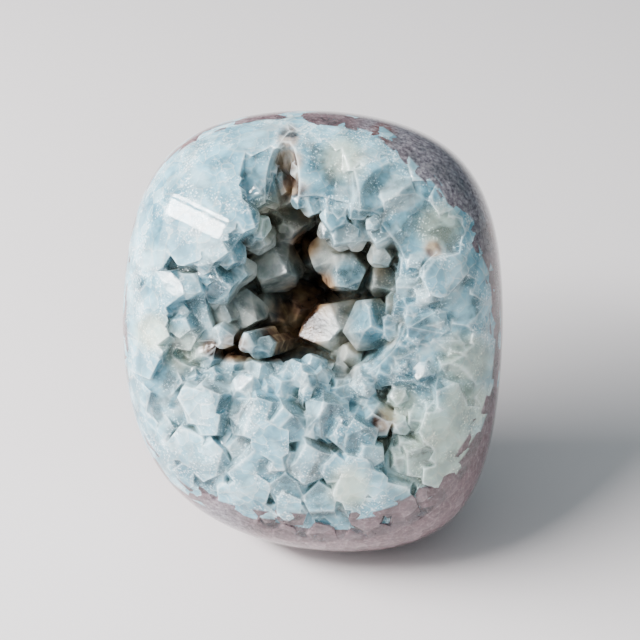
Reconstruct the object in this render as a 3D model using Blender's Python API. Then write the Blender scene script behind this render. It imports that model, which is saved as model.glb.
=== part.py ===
"""Pink amethyst geode, ground and polished to a rounded stone that stands on a small flat spot.

The stone is drawn upright, as its maker holds it: X runs across its face, Z up the face, and the
face looks along -Y. Its parent empty then leans it back and sets it down with the flat spot at
the origin. Everything up to the meshes is in millimetres.
"""

import math
import random

import bmesh
import bpy
from mathutils import Matrix, Vector

MM = 0.001

# The stone, in millimetres from the middle of its widest section
FRONT_DEPTH = 24.5
BACK_DEPTH = 27.5
# The flats it was ground on, seen from the front: direction across and up, and distance out
GROUND_FLATS = [
    ((1, 0), 33.0),
    ((1, 1), 43.8),
    ((0, 1), 38.8),
    ((-1, 1), 44.4),
    ((-1, 0), 33.2),
    ((-1, -1), 38.8),
    ((0, -1), 39.3),
    ((1, -1), 48.0),
]
OUTLINE_SQUARENESS = 5.0
FRONT_SQUARENESS = 2.6
BACK_SQUARENESS = 3.2
SURFACE_CUTS = 14

# How it stands: the lean, and the stone's middle as seen from the middle of its foot
LEAN_DEG = 24.0
MIDDLE_FROM_FOOT = Vector((-4.0, 1.0, 35.6))

# The bed that the crystals grow from, a bowl that the ground face opens
BED_MIDDLE = Vector((-0.5, -36.0, 3.6))
BED_RADII = Vector((42.4, 44.0, 43.2))
BED_GAP = 0.3
# Between the crystals, massive quartz lies a little below the ground face
MASSIVE_SCALE = Vector((0.96, 0.8, 0.96))

# The vug and the clefts that run out of it: middle, radii, and the share of each that stays open
VUG_LOBES = [
    ((0.0, -25.0, 8.5), (17.5, 27.0, 17.0), 0.6),
    ((-3.5, -25.0, 26.0), (6.5, 17.0, 11.0), 0.7),
    ((-14.0, -23.0, -1.5), (10.0, 12.0, 3.5), 0.8),
    ((13.5, -23.0, -10.0), (3.0, 13.0, 10.0), 0.8),
]

# Where the face was looked at from when the crystals below were placed
SIGHT_ACROSS_DEG = 4.3
SIGHT_UP_DEG = 8.1
SIGHT_DISTANCE = 310.0
# A point is found on a sight line by halving the stretch that it lies on this often
SIGHT_HALVINGS = 40

# Crystals seen on the face: across and up to the middle of its end as they look from there, how
# deep the tip lies behind the polished dome (less than 0 was ground off), radius, and lean of the
# axis across and up in degrees
CRYSTALS = [
    (-4.0, 23.0, 9.0, 4.0, 15, -20),
    (-4.3, 18.0, 7.0, 4.4, 15, -15),
    (-6.0, 9.8, 8.0, 5.2, 25, -10),
    (-11.0, 1.6, 6.5, 4.6, 35, -15),
    (-15.5, 2.2, 4.0, 4.4, 25, -15),
    (4.5, 9.8, 7.0, 4.8, -15, -25),
    (1.0, 12.0, 9.0, 4.0, -30, -20),
    (10.2, 1.1, 6.5, 4.9, 4, 8),
    (1.0, -0.5, 11.0, 5.2, -60, -20),
    (11.0, -6.2, 9.0, 4.2, -15, 0),
    (16.0, -4.8, 9.0, 3.2, -30, -10),
    (-7.2, -4.8, 17.0, 4.0, 20, 10),
    (-3.0, 4.0, 20.0, 4.5, 5, 5),
    (1.0, 12.0, 18.0, 3.5, 0, -10),
    (11.0, 8.5, 9.0, 3.2, -20, -10),
    (15.0, 14.0, 6.0, 2.5, -25, -15),
    (-17.0, 26.0, -6.0, 6.0, 20, -20),
    (-21.0, 18.4, -6.5, 6.5, 25, -10),
    (-17.5, 13.8, -3.5, 5.0, 25, -10),
    (-13.0, 17.5, -1.0, 4.2, 25, -10),
    (-9.5, 22.5, 1.5, 4.6, 20, -15),
    (-9.5, 15.5, 4.0, 3.4, 25, -10),
    (-15.5, 7.7, 1.0, 5.0, 30, -5),
    (-24.0, 5.0, -3.0, 4.4, 30, 0),
    (-20.5, -1.5, 0.0, 4.2, 30, -10),
    (-27.0, 12.0, -4.0, 4.4, 30, 0),
    (-26.0, -2.0, -3.0, 4.0, 30, 0),
    (-23.0, -9.2, 0.0, 5.2, 10, 5),
    (-17.2, -5.8, 4.0, 2.6, 15, 10),
    (2.8, 26.6, 0.3, 3.9, -5, -15),
    (8.5, 23.5, -6.0, 6.5, -10, -20),
    (4.3, 16.0, 2.5, 3.8, -15, -25),
    (11.0, 15.5, 2.0, 4.4, -15, -25),
    (17.7, 22.5, 0.0, 5.5, -15, -20),
    (17.0, 15.0, 1.5, 3.7, -20, -20),
    (3.0, 33.0, -4.0, 4.2, -5, -25),
    (10.0, 32.0, -4.0, 4.5, -10, -25),
    (-3.0, 31.5, 1.0, 3.6, -5, -20),
    (-12.0, 33.0, -4.5, 4.8, 10, -25),
    (24.8, 11.8, -6.0, 6.0, -25, -5),
    (24.3, 17.4, -3.5, 4.5, -25, -10),
    (16.1, 7.7, 1.0, 4.2, -35, 0),
    (17.7, 1.0, 0.0, 4.8, -30, 0),
    (25.3, 1.6, -5.0, 5.4, -25, 0),
    (23.8, -4.6, -3.5, 5.5, -25, 5),
    (16.1, -8.7, 1.5, 4.4, -30, 5),
    (27.0, -10.2, 0.0, 3.6, -30, 5),
    (21.2, -15.8, -3.0, 4.6, -25, 10),
    (18.1, -21.0, -1.0, 4.4, -20, 10),
    (14.1, -15.8, 4.0, 3.0, -20, 10),
    (-13.0, -7.1, 3.5, 3.0, 5, 20),
    (-9.0, -7.7, 2.0, 3.6, 5, 35),
    (-1.8, -7.1, 2.0, 3.6, 0, 40),
    (1.4, -7.5, 3.0, 2.8, 10, 35),
    (4.5, -9.0, 4.5, 3.2, 0, 30),
    (8.0, -10.5, 4.5, 3.0, 0, 30),
    (10.5, -11.5, 3.0, 2.8, 5, 30),
    (-5.0, -9.5, 1.0, 3.6, 0, 30),
    (-16.5, -13.0, -4.5, 4.8, 15, 20),
    (-8.0, -14.5, -6.0, 6.2, 5, 25),
    (-8.5, -21.5, -5.5, 5.6, 5, 30),
    (0.3, -20.9, -1.6, 4.8, 0, 25),
    (-3.8, -26.0, -1.0, 4.4, 0, 25),
    (-17.0, -21.0, -4.5, 4.8, 15, 25),
    (3.0, -14.0, -0.5, 4.2, 0, 25),
    (8.0, -17.0, -1.0, 4.6, 0, 25),
    (7.5, -24.0, -3.0, 4.6, -5, 30),
    (14.0, -27.0, -1.0, 4.2, -10, 30),
    (-11.0, -28.0, -3.0, 4.0, 5, 30),
]
CRYSTAL_LENGTH = 26.0
# A crystal narrows to this share of its radius at its root
ROOT_SHARE = 0.8
# A quartz tip's faces stand this far off the crystal's axis, and every other one is broader
# because it lies further back, in radii
TIP_FACE_DEG = 38.2
NARROW_FACE_SETBACK = (0.0, 0.1)
BROAD_FACE_SETBACK = (0.1, 0.3)
# All the crystals grew towards the middle of the hollow that was ground away
GROWTH_FOCUS = Vector((-1.0, -52.0, 3.0))

# Lesser crystals that fill the ground face between those
FILLERS = 90
FILLER_RADIUS = (2.6, 4.2)
FILLER_DEPTH = (-3.0, 2.5)
FILLER_SPACING = 4.2
FILLER_BED_SHARE = 0.96
FILLER_UNEVENNESS = 0.2
FILLER_TRIES = 8000
# Crystals that line the back of the vug, and the point before its middle that they grew towards
LINERS = 24
LINER_RADIUS = (2.0, 3.2)
LINER_REACH = (0.74, 0.9)
LINER_SPACING = 4.2
LINER_BACKWARD = 0.3
LINER_FOCUS = Vector((0, -12, 0))
LINER_TRIES = 4000
SEED = 7

# The grinding table's side, larger than the stone
TABLE_SIZE = 200.0


def outline_measure(across, up):
    """1 on the outline seen from the front, less inside it."""
    total = 0.0
    for direction, distance in GROUND_FLATS:
        reach = (across * direction[0] + up * direction[1]) / math.hypot(*direction)
        if reach > 0:
            total += (reach / distance) ** OUTLINE_SQUARENESS
    return total ** (1 / OUTLINE_SQUARENESS)


def stone_measure(point):
    """1 on the polished surface, less inside the stone."""
    if point.y > 0:
        depth, squareness = BACK_DEPTH, BACK_SQUARENESS
    else:
        depth, squareness = FRONT_DEPTH, FRONT_SQUARENESS
    side = outline_measure(point.x, point.z) ** squareness
    return (side + abs(point.y / depth) ** squareness) ** (1 / squareness)


def ellipsoid_measure(point, middle, radii):
    """1 on the ellipsoid, less inside it."""
    return Vector((point[i] - middle[i]) / radii[i] for i in range(3)).length


def sight_line(across, up):
    """The eye, and the direction from it to a point of the plane that the face was seen in."""
    side, rise = math.radians(SIGHT_ACROSS_DEG), math.radians(SIGHT_UP_DEG)
    to_eye = Vector((math.sin(side) * math.cos(rise), -math.cos(side) * math.cos(rise), math.sin(rise)))
    right = Vector((math.cos(side), math.sin(side), 0))
    above = right.cross(-to_eye)
    eye = to_eye * SIGHT_DISTANCE
    return eye, (right * across + above * up - eye).normalized()


def seen_point(across, up, depth):
    """The point seen at (across, up), this deep behind the polished dome."""
    eye, along = sight_line(across, up)
    near, far = 0.0, SIGHT_DISTANCE
    for _ in range(SIGHT_HALVINGS):
        middle = (near + far) / 2
        if stone_measure(eye + along * middle) > 1:
            near = middle
        else:
            far = middle
    return eye + along * (near + depth)


def clear_scene():
    """Empties the file, so that the script can be run again."""
    for obj in list(bpy.data.objects):
        bpy.data.objects.remove(obj)


def new_collection(name):
    """A collection of the scene for like objects."""
    collection = bpy.data.collections.new(name)
    bpy.context.scene.collection.children.link(collection)
    return collection


def add_object(name, mesh, collection, parent=None):
    """Links a mesh as an object of the collection, carried by the parent."""
    obj = bpy.data.objects.new(name, mesh)
    collection.objects.link(obj)
    obj.parent = parent
    return obj


def add_guide(name, mesh, collection, parent=None):
    """A cutter shows as a wireframe and isn't part of the object."""
    obj = add_object(name, mesh, collection, parent)
    obj.hide_render = True
    obj.display_type = "WIRE"
    return obj


def mesh_from(bm, name):
    """Turns a bmesh in millimetres into a mesh in metres."""
    bmesh.ops.scale(bm, vec=(MM, MM, MM), verts=bm.verts)
    bmesh.ops.recalc_face_normals(bm, faces=bm.faces)
    mesh = bpy.data.meshes.new(name)
    bm.to_mesh(mesh)
    bm.free()
    return mesh


def stone_mesh(name, scale=Vector((1, 1, 1))):
    """The polished form: a gridded cube whose points are moved out or in to the ground surface."""
    bm = bmesh.new()
    bmesh.ops.create_cube(bm, size=2.0)
    bmesh.ops.subdivide_edges(bm, edges=bm.edges, cuts=SURFACE_CUTS, use_grid_fill=True)
    for vert in bm.verts:
        spread = Vector(math.tan(c * math.pi / 4) for c in vert.co)
        vert.co = spread / stone_measure(spread) * scale
    return mesh_from(bm, name)


def ellipsoid_mesh(name, middle, radii, subdivisions):
    """An ellipsoid of the given radii round its middle."""
    bm = bmesh.new()
    bmesh.ops.create_icosphere(bm, subdivisions=subdivisions, radius=1.0)
    bmesh.ops.scale(bm, vec=radii, verts=bm.verts)
    bmesh.ops.translate(bm, vec=middle, verts=bm.verts)
    return mesh_from(bm, name)


def table_mesh(name, size):
    """The flat that the foot is ground on: all that lies below Z = 0."""
    bm = bmesh.new()
    bmesh.ops.create_cube(bm, size=size)
    bmesh.ops.translate(bm, vec=(0, 0, -size / 2), verts=bm.verts)
    return mesh_from(bm, name)


def cut_face(bm, point, outward):
    """Ends the crystal flat along a plane, as a crystal face does."""
    geometry = bm.verts[:] + bm.edges[:] + bm.faces[:]
    cut = bmesh.ops.bisect_plane(bm, geom=geometry, plane_co=point, plane_no=outward, clear_outer=True)
    rim = [item for item in cut["geom_cut"] if isinstance(item, bmesh.types.BMEdge)]
    if rim:
        bmesh.ops.edgeloop_fill(bm, edges=rim)


def crystal_mesh(name, tip, axis, radius, rng):
    """A six-sided quartz prism along its axis, ended by three broad and three narrow sloping faces."""
    bm = bmesh.new()
    bmesh.ops.create_cone(
        bm, cap_ends=True, segments=6, radius1=radius * ROOT_SHARE, radius2=radius, depth=CRYSTAL_LENGTH
    )
    bmesh.ops.translate(bm, vec=(0, 0, -CRYSTAL_LENGTH / 2), verts=bm.verts)
    slope = math.radians(TIP_FACE_DEG)
    for side in range(6):
        azimuth = math.radians(30 + 60 * side)
        outward = Vector(
            (math.cos(azimuth) * math.cos(slope), math.sin(azimuth) * math.cos(slope), math.sin(slope))
        )
        setback = radius * rng.uniform(*(NARROW_FACE_SETBACK if side % 2 else BROAD_FACE_SETBACK))
        cut_face(bm, outward * -setback, outward)
    turn = Matrix.Rotation(rng.uniform(0, math.pi / 3), 4, "Z")
    heading = axis.to_track_quat("Z", "Y").to_matrix().to_4x4()
    bmesh.ops.transform(bm, matrix=Matrix.Translation(tip) @ heading @ turn, verts=bm.verts)
    return mesh_from(bm, name)


def leaning_axis(across_deg, up_deg):
    """The direction that a crystal points in: out of the face, leaning across and up."""
    across, up = math.radians(across_deg), math.radians(up_deg)
    return Vector((math.sin(across), -math.cos(across) * math.cos(up), math.cos(across) * math.sin(up)))


def random_direction(rng):
    """A direction into the front half of space."""
    while True:
        direction = Vector((rng.uniform(-1, 1), rng.uniform(-1, 0), rng.uniform(-1, 1)))
        if 0.1 < direction.length < 1:
            return direction.normalized()


def spaced_from(point, others, spacing):
    """Whether the point keeps its distance from all the others."""
    return all((point - other).length > spacing for other in others)


def filler_crystals(taken, rng):
    """Tip, axis and radius of crystals between those already placed, on the ground face."""
    found = []
    for _ in range(FILLER_TRIES):
        surface = random_direction(rng)
        surface = surface / stone_measure(surface)
        in_bed = ellipsoid_measure(surface, BED_MIDDLE, BED_RADII) < FILLER_BED_SHARE
        if not in_bed or not spaced_from(surface, taken, FILLER_SPACING):
            continue
        if any(ellipsoid_measure(surface, middle, radii) < share for middle, radii, share in VUG_LOBES):
            continue
        taken.append(surface)
        inward = (GROWTH_FOCUS - surface).normalized()
        tip = surface - inward * rng.uniform(*FILLER_DEPTH)
        off = Vector(rng.uniform(-FILLER_UNEVENNESS, FILLER_UNEVENNESS) for _ in range(3))
        found.append((tip, (inward + off).normalized(), rng.uniform(*FILLER_RADIUS)))
        if len(found) == FILLERS:
            break
    return found


def liner_crystals(taken, rng):
    """Tip, axis and radius of the crystals that stand on the wall of the vug."""
    middle, radii = Vector(VUG_LOBES[0][0]), Vector(VUG_LOBES[0][1])
    found = []
    for _ in range(LINER_TRIES):
        direction = -random_direction(rng)
        wall = middle + direction * radii
        if direction.y < LINER_BACKWARD or not spaced_from(wall, taken, LINER_SPACING):
            continue
        taken.append(wall)
        tip = middle + direction * radii * rng.uniform(*LINER_REACH)
        axis = (middle + LINER_FOCUS - wall).normalized()
        found.append((tip, axis, rng.uniform(*LINER_RADIUS)))
        if len(found) == LINERS:
            break
    return found


def add_crystals(collection, parent):
    """Every crystal of the druse, whole, as a guide for the crust."""
    rng = random.Random(SEED)
    crystals = []
    for across, up, depth, radius, lean_across, lean_up in CRYSTALS:
        axis = leaning_axis(lean_across, lean_up)
        tip = seen_point(across, up, depth + radius) + axis * radius
        crystals.append((tip, axis, radius))
    crystals += filler_crystals([seen_point(row[0], row[1], 0) for row in CRYSTALS], rng)
    crystals += liner_crystals([crystal[0] for crystal in crystals], rng)
    for number, (tip, axis, radius) in enumerate(crystals):
        name = f"crystal_{number:03d}"
        add_guide(name, crystal_mesh(name, tip, axis, radius, rng), collection, parent)


def add_boolean(obj, operation, cutter):
    """Joins, cuts or keeps what two solids share. The cutter is an object or a collection."""
    boolean = obj.modifiers.new(f"{operation}_{cutter.name}".lower(), "BOOLEAN")
    boolean.operation = operation
    boolean.solver = "EXACT"
    if isinstance(cutter, bpy.types.Collection):
        boolean.operand_type = "COLLECTION"
        boolean.collection = cutter
    else:
        boolean.object = cutter


def shell_volume(faces):
    """The volume inside a closed shell of faces, less than 0 if it is a hollow."""
    total = 0.0
    for face in faces:
        corners = [vert.co for vert in face.verts]
        for second, third in zip(corners[1:-1], corners[2:]):
            total += corners[0].dot(second.cross(third)) / 6
    return total


def joined_faces(start, unseen):
    """Takes every face that hangs together with the first out of the unseen ones."""
    shell, open_ends = [start], [start]
    unseen.discard(start)
    while open_ends:
        for edge in open_ends.pop().edges:
            for face in edge.link_faces:
                if face in unseen:
                    unseen.discard(face)
                    shell.append(face)
                    open_ends.append(face)
    return shell


def fill_pockets(obj):
    """Makes the modifiers' result the mesh, as one shell with no pocket sealed between crystals."""
    graph = bpy.context.evaluated_depsgraph_get()
    mesh = bpy.data.meshes.new_from_object(obj.evaluated_get(graph))
    bm = bmesh.new()
    bm.from_mesh(mesh)
    unseen, shells = set(bm.faces), []
    while unseen:
        shells.append(joined_faces(next(iter(unseen)), unseen))
    shells.sort(key=shell_volume)
    for shell in shells[:-1]:
        bmesh.ops.delete(bm, geom=shell, context="FACES")
    bm.to_mesh(mesh)
    bm.free()
    obj.modifiers.clear()
    obj.data = mesh


def material(name, rgb, roughness):
    """A plain dielectric finish."""
    made = bpy.data.materials.new(name)
    made.use_nodes = True
    shader = made.node_tree.nodes["Principled BSDF"]
    shader.inputs["Base Color"].default_value = (*rgb, 1.0)
    shader.inputs["Roughness"].default_value = roughness
    shader.inputs["Metallic"].default_value = 0.0
    made.diffuse_color = (*rgb, 1.0)
    return made


def build():
    clear_scene()
    parts = new_collection("pink_amethyst_geode")
    guides = new_collection("guides")
    lobes = new_collection("vug_lobes")
    crystals = new_collection("crystals")

    stance = bpy.data.objects.new("stance", None)
    parts.objects.link(stance)
    stance.rotation_euler.x = -math.radians(LEAN_DEG)
    stance.location = MIDDLE_FROM_FOOT * MM

    bed = add_guide("bed", ellipsoid_mesh("bed", BED_MIDDLE, BED_RADII, 3), guides, stance)
    back_radii = BED_RADII - Vector((BED_GAP, BED_GAP, BED_GAP))
    back_mesh = ellipsoid_mesh("crust_back", BED_MIDDLE, back_radii, 3)
    crust_back = add_guide("crust_back", back_mesh, guides, stance)
    polished_form = add_guide("polished_form", stone_mesh("polished_form"), guides, stance)
    table = add_guide("table", table_mesh("table", TABLE_SIZE), guides)
    for number, (middle, radii, _) in enumerate(VUG_LOBES):
        name = f"vug_lobe_{number}"
        add_guide(name, ellipsoid_mesh(name, middle, radii, 2), lobes, stance)
    add_crystals(crystals, stance)

    stone = add_object("amethyst_stone", stone_mesh("amethyst_stone"), parts, stance)
    stone.data.materials.append(material("polished_pink_amethyst", (0.52, 0.42, 0.44), 0.15))
    add_boolean(stone, "DIFFERENCE", bed)
    add_boolean(stone, "DIFFERENCE", table)

    crust = add_object("crystal_crust", stone_mesh("crystal_crust", MASSIVE_SCALE), parts, stance)
    crust.data.materials.append(material("quartz_crystal", (0.78, 0.85, 0.87), 0.1))
    add_boolean(crust, "DIFFERENCE", lobes)
    add_boolean(crust, "UNION", crystals)
    add_boolean(crust, "INTERSECT", crust_back)
    add_boolean(crust, "INTERSECT", polished_form)
    fill_pockets(crust)


build()
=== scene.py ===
"""Pink amethyst geode: a polished body of massive quartz, and the druse of quartz crystals in it."""

import math
import random

import bmesh
import bpy
import numpy as np
from mathutils import Matrix, Vector
from mathutils.bvhtree import BVHTree


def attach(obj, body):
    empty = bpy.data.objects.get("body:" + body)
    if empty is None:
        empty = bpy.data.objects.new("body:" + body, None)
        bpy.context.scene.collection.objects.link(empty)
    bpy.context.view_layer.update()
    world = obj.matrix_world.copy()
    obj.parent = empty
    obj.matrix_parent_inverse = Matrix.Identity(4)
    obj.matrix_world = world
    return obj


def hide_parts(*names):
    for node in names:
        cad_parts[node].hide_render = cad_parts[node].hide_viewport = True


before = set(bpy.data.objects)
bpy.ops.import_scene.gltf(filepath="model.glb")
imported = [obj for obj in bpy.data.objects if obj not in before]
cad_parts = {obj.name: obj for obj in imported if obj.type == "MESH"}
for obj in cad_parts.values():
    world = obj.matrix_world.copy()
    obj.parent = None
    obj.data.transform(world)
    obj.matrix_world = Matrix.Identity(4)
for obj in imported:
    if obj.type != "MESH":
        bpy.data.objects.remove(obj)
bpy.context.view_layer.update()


# The polished body
# Massive, fine-grained pink amethyst that grew as one piece round a gas pocket in basalt. It was
# ground on coarse wheels to a rounded outline, then polished, and has one flat spot to stand on.

MM = 0.001

# The stone, in millimetres from the middle of its widest section, drawn upright: X across the
# face, Z up it, and the face looks along -Y
FRONT_DEPTH = 24.5
BACK_DEPTH = 27.5
# The flats it was ground on, seen from the front: direction across and up, and distance out
GROUND_FLATS = [
    ((1, 0), 33.0),
    ((1, 1), 43.8),
    ((0, 1), 38.8),
    ((-1, 1), 44.4),
    ((-1, 0), 33.2),
    ((-1, -1), 38.8),
    ((0, -1), 39.3),
    ((1, -1), 48.0),
]
OUTLINE_SQUARENESS = 5.0
FRONT_SQUARENESS = 2.6
BACK_SQUARENESS = 3.2
BODY_CUTS = 72
# Faces that meet at more than this keep a sharp edge between them
SHARP_ANGLE = math.radians(28)
# A copy of the form can have its face sunk, within this share of the outline
SUNK_WITHIN = 0.86

# How it stands: the lean, and the stone's middle as seen from the middle of its foot
LEAN_DEG = 24.0
MIDDLE_FROM_FOOT = Vector((-4.0, 1.0, 35.6))
STANCE = (
    Matrix.Translation(MIDDLE_FROM_FOOT * MM)
    @ Matrix.Rotation(-math.radians(LEAN_DEG), 4, "X")
    @ Matrix.Scale(MM, 4)
)

# The bed that the crystals grow from, a bowl that the ground face opens
BED_MIDDLE = Vector((-0.5, -36.0, 3.6))
BED_RADII = Vector((42.4, 44.0, 43.2))
BED_GAP = 0.02

# Where the face is looked at from: places on it are given as they look from there, across and up
# in the plane through the stone's middle
SIGHT_ACROSS_DEG = 4.3
SIGHT_UP_DEG = 8.1
SIGHT_DISTANCE = 310.0

# How wide the band of massive quartz looks round the face: degrees from the right side on
# upwards, and width
BAND_WIDTHS = [
    (0, 0.8),
    (20, 1.2),
    (33, 3.5),
    (45, 6.5),
    (60, 5.5),
    (75, 2.0),
    (100, 0.5),
    (140, -0.8),
    (180, -1.2),
    (215, -0.5),
    (240, 2.0),
    (262, 4.4),
    (285, 5.5),
    (305, 6.5),
    (318, 5.5),
    (330, 3.0),
    (345, 1.2),
    (360, 0.8),
]
# All that lies further back than this is massive quartz
BACK_BEGINS = 1.0
DEEP_IN_BAND = 10.0
# Patches of it, as seen: across, up, radius. Each fades out between these shares of its radius
PATCH_FADE = (1.4, 0.5)
DARK_BAND_PLACES = [(22, 30, 9), (29, 22, 7), (13, 36, 6), (-30, 27, 3), (-16, -36, 6)]
RUST_BAND_PLACES = [(10.8, 34.2, 2.2), (31.2, 18.5, 2.2), (-24.5, 29.5, 3.0), (-28, -8, 1.6)]


def outline_measure(across, up):
    """1 on the outline seen from the front, less inside it."""
    total = 0.0
    for direction, distance in GROUND_FLATS:
        reach = (across * direction[0] + up * direction[1]) / math.hypot(*direction)
        total = total + (np.maximum(reach, 0) / distance) ** OUTLINE_SQUARENESS
    return total ** (1 / OUTLINE_SQUARENESS)


def stone_measure(points):
    """1 on the polished surface, less inside the stone, for one point or an array of them."""
    x, y, z = np.asarray(points, dtype=float).T
    depth = np.where(y > 0, BACK_DEPTH, FRONT_DEPTH)
    squareness = np.where(y > 0, BACK_SQUARENESS, FRONT_SQUARENESS)
    side = outline_measure(x, z) ** squareness
    return (side + np.abs(y / depth) ** squareness) ** (1 / squareness)


def bed_measure(points):
    """1 on the bed, less inside the hollow of it."""
    return np.linalg.norm((np.asarray(points) - np.array(BED_MIDDLE)) / np.array(BED_RADII), axis=-1)


def sight_axes():
    """The directions to the eye, to the right and upwards, as the face is looked at."""
    side, rise = math.radians(SIGHT_ACROSS_DEG), math.radians(SIGHT_UP_DEG)
    to_eye = Vector((math.sin(side) * math.cos(rise), -math.cos(side) * math.cos(rise), math.sin(rise)))
    right = Vector((math.cos(side), math.sin(side), 0))
    return to_eye, right, right.cross(-to_eye)


def seen_from_front(points):
    """Where points of the stone are seen: across and up."""
    to_eye, right, above = (np.array(axis) for axis in sight_axes())
    shrink = SIGHT_DISTANCE / (SIGHT_DISTANCE - points @ to_eye)
    return points @ right * shrink, points @ above * shrink


def band_depth(points):
    """How far inside the band of massive quartz each point lies. Below 0 it is among the crystals."""
    across, up = seen_from_front(points)
    direction = np.degrees(np.arctan2(up, across)) % 360
    width = np.interp(direction, *np.array(BAND_WIDTHS).T)
    measure = np.maximum(outline_measure(across, up), 0.01)
    from_outline = np.hypot(across, up) * (1 / measure - 1)
    return np.where(points[:, 1] > BACK_BEGINS, DEEP_IN_BAND, width - from_outline)


def smooth_step(values, low, high):
    """0 below low, 1 above high and a soft rise between them. Low may be the greater one."""
    share = np.clip((values - low) / (high - low), 0, 1)
    return share * share * (3 - 2 * share)


def patches(points, places):
    """How much each point belongs to round patches that are seen on the face."""
    across, up = seen_from_front(points)
    share = np.zeros(len(points))
    for middle_across, middle_up, radius in places:
        away = np.hypot(across - middle_across, up - middle_up)
        share = np.maximum(share, smooth_step(away / radius, *PATCH_FADE))
    return share


def corner_array(mesh):
    """The vertices of a mesh as an array."""
    corners = np.zeros(len(mesh.vertices) * 3, np.float32)
    mesh.vertices.foreach_get("co", corners)
    return corners.reshape(-1, 3).astype(float)


def store(mesh, name, values):
    """Keeps a number for each vertex, for the material to read."""
    attribute = mesh.attributes.new(name, "FLOAT", "POINT")
    attribute.data.foreach_set("value", np.asarray(values, np.float32))


def add_object(name, mesh):
    """Links a mesh as an object of the scene."""
    obj = bpy.data.objects.new(name, mesh)
    bpy.context.scene.collection.objects.link(obj)
    return obj


def mesh_from(bm, name):
    """Turns a bmesh into a mesh."""
    bmesh.ops.recalc_face_normals(bm, faces=bm.faces)
    mesh = bpy.data.meshes.new(name)
    bm.to_mesh(mesh)
    bm.free()
    return mesh


def form_mesh(name, cuts, sunk=0.0):
    """The ground form: a gridded cube moved to the polished surface. Its face can be sunk inside."""
    bm = bmesh.new()
    bmesh.ops.create_cube(bm, size=2.0)
    bmesh.ops.subdivide_edges(bm, edges=bm.edges, cuts=cuts, use_grid_fill=True)
    spread = np.tan(np.array([vert.co for vert in bm.verts]) * math.pi / 4)
    ground = spread / stone_measure(spread)[:, None]
    in_outline = outline_measure(ground[:, 0], ground[:, 2]) / SUNK_WITHIN
    from_rim = np.where(ground[:, 1] < 0, np.maximum(1 - in_outline**4, 0), 0)
    ground[:, 1] *= 1 - sunk * from_rim
    for vert, place in zip(bm.verts, ground):
        vert.co = place
    return mesh_from(bm, name)


def ellipsoid_mesh(name, middle, radii, subdivisions):
    """An ellipsoid of the given radii round its middle."""
    bm = bmesh.new()
    bmesh.ops.create_icosphere(bm, subdivisions=subdivisions, radius=1.0)
    bmesh.ops.scale(bm, vec=radii, verts=bm.verts)
    bmesh.ops.translate(bm, vec=middle, verts=bm.verts)
    return mesh_from(bm, name)


def finished_mesh(obj):
    """The mesh that an object's modifiers make. The object itself goes."""
    graph = bpy.context.evaluated_depsgraph_get()
    mesh = bpy.data.meshes.new_from_object(obj.evaluated_get(graph))
    bpy.data.objects.remove(obj)
    return mesh


def cut_away(mesh, cutter_mesh):
    """The first mesh less what the second one fills."""
    body, cutter = add_object("body", mesh), add_object("cutter", cutter_mesh)
    boolean = body.modifiers.new("cut", "BOOLEAN")
    boolean.operation = "DIFFERENCE"
    boolean.solver = "MANIFOLD"
    boolean.object = cutter
    made = finished_mesh(body)
    bpy.data.objects.remove(cutter)
    return made


def sawn_flat(mesh, height):
    """Grinds the foot: everything below the height goes, and the cut is closed."""
    bm = bmesh.new()
    bm.from_mesh(mesh)
    geometry = bm.verts[:] + bm.edges[:] + bm.faces[:]
    cut = bmesh.ops.bisect_plane(
        bm, geom=geometry, plane_co=(0, 0, height), plane_no=(0, 0, -1), clear_outer=True
    )
    rim = [item for item in cut["geom_cut"] if isinstance(item, bmesh.types.BMEdge)]
    bmesh.ops.edgeloop_fill(bm, edges=rim)
    bmesh.ops.triangulate(bm, faces=[face for face in bm.faces if len(face.verts) > 4])
    return mesh_from(bm, mesh.name)


def linear(hex_colour):
    """An sRGB hex colour as linear red, green, blue and alpha."""
    shares = [int(hex_colour[i : i + 2], 16) / 255 for i in (1, 3, 5)]
    return [s / 12.92 if s <= 0.04045 else ((s + 0.055) / 1.055) ** 2.4 for s in shares] + [1.0]


def node(tree, kind, inputs=None, out=0, stops=(), **settings):
    """Adds a node with its settings, sets or links its inputs, and gives one of its outputs."""
    made = tree.nodes.new(kind)
    for name, value in settings.items():
        setattr(made, name, value)
    for name, value in (inputs or {}).items():
        if isinstance(value, bpy.types.NodeSocket):
            tree.links.new(value, made.inputs[name])
        else:
            made.inputs[name].default_value = value
    while stops and len(made.color_ramp.elements) < len(stops):
        made.color_ramp.elements.new(0.5)
    for number, (place, colour) in enumerate(stops):
        element = made.color_ramp.elements[number]
        element.position = place
        element.color = linear(colour) if isinstance(colour, str) else (colour, colour, colour, 1)
    return made.outputs[out]


def layered(tree, base, *layers):
    """Lays colours over the base, one after the other. Before each one stand shares that thin it."""
    for share, *others, colour in layers:
        for other in others:
            share = node(tree, "ShaderNodeMath", {0: share, 1: other}, operation="MULTIPLY")
        colour = linear(colour) if isinstance(colour, str) else colour
        base = node(tree, "ShaderNodeMix", {0: share, 6: base, 7: colour}, out=2, data_type="RGBA")
    return base


def millimetres(tree, scale=(1, 1, 1), turn=(0, 0, 0)):
    """Object coordinates counted in millimetres, so that a pattern's scale is 1 over its size."""
    where = node(tree, "ShaderNodeTexCoord", out="Object")
    factors = [share / MM for share in scale]
    return node(tree, "ShaderNodeMapping", {"Vector": where, "Rotation": turn, "Scale": factors})


def wavering(tree, place, size, reach):
    """Places shifted by up to reach mm, in waves of this size, so that no edge stays straight."""
    waves = node(
        tree, "ShaderNodeTexNoise", {"Vector": place, "Scale": 1 / size, "Detail": 2.0}, out="Color"
    )
    shift = {0: waves, 1: (reach, reach, reach), 2: place}
    return node(tree, "ShaderNodeVectorMath", shift, operation="MULTIPLY_ADD")


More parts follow.
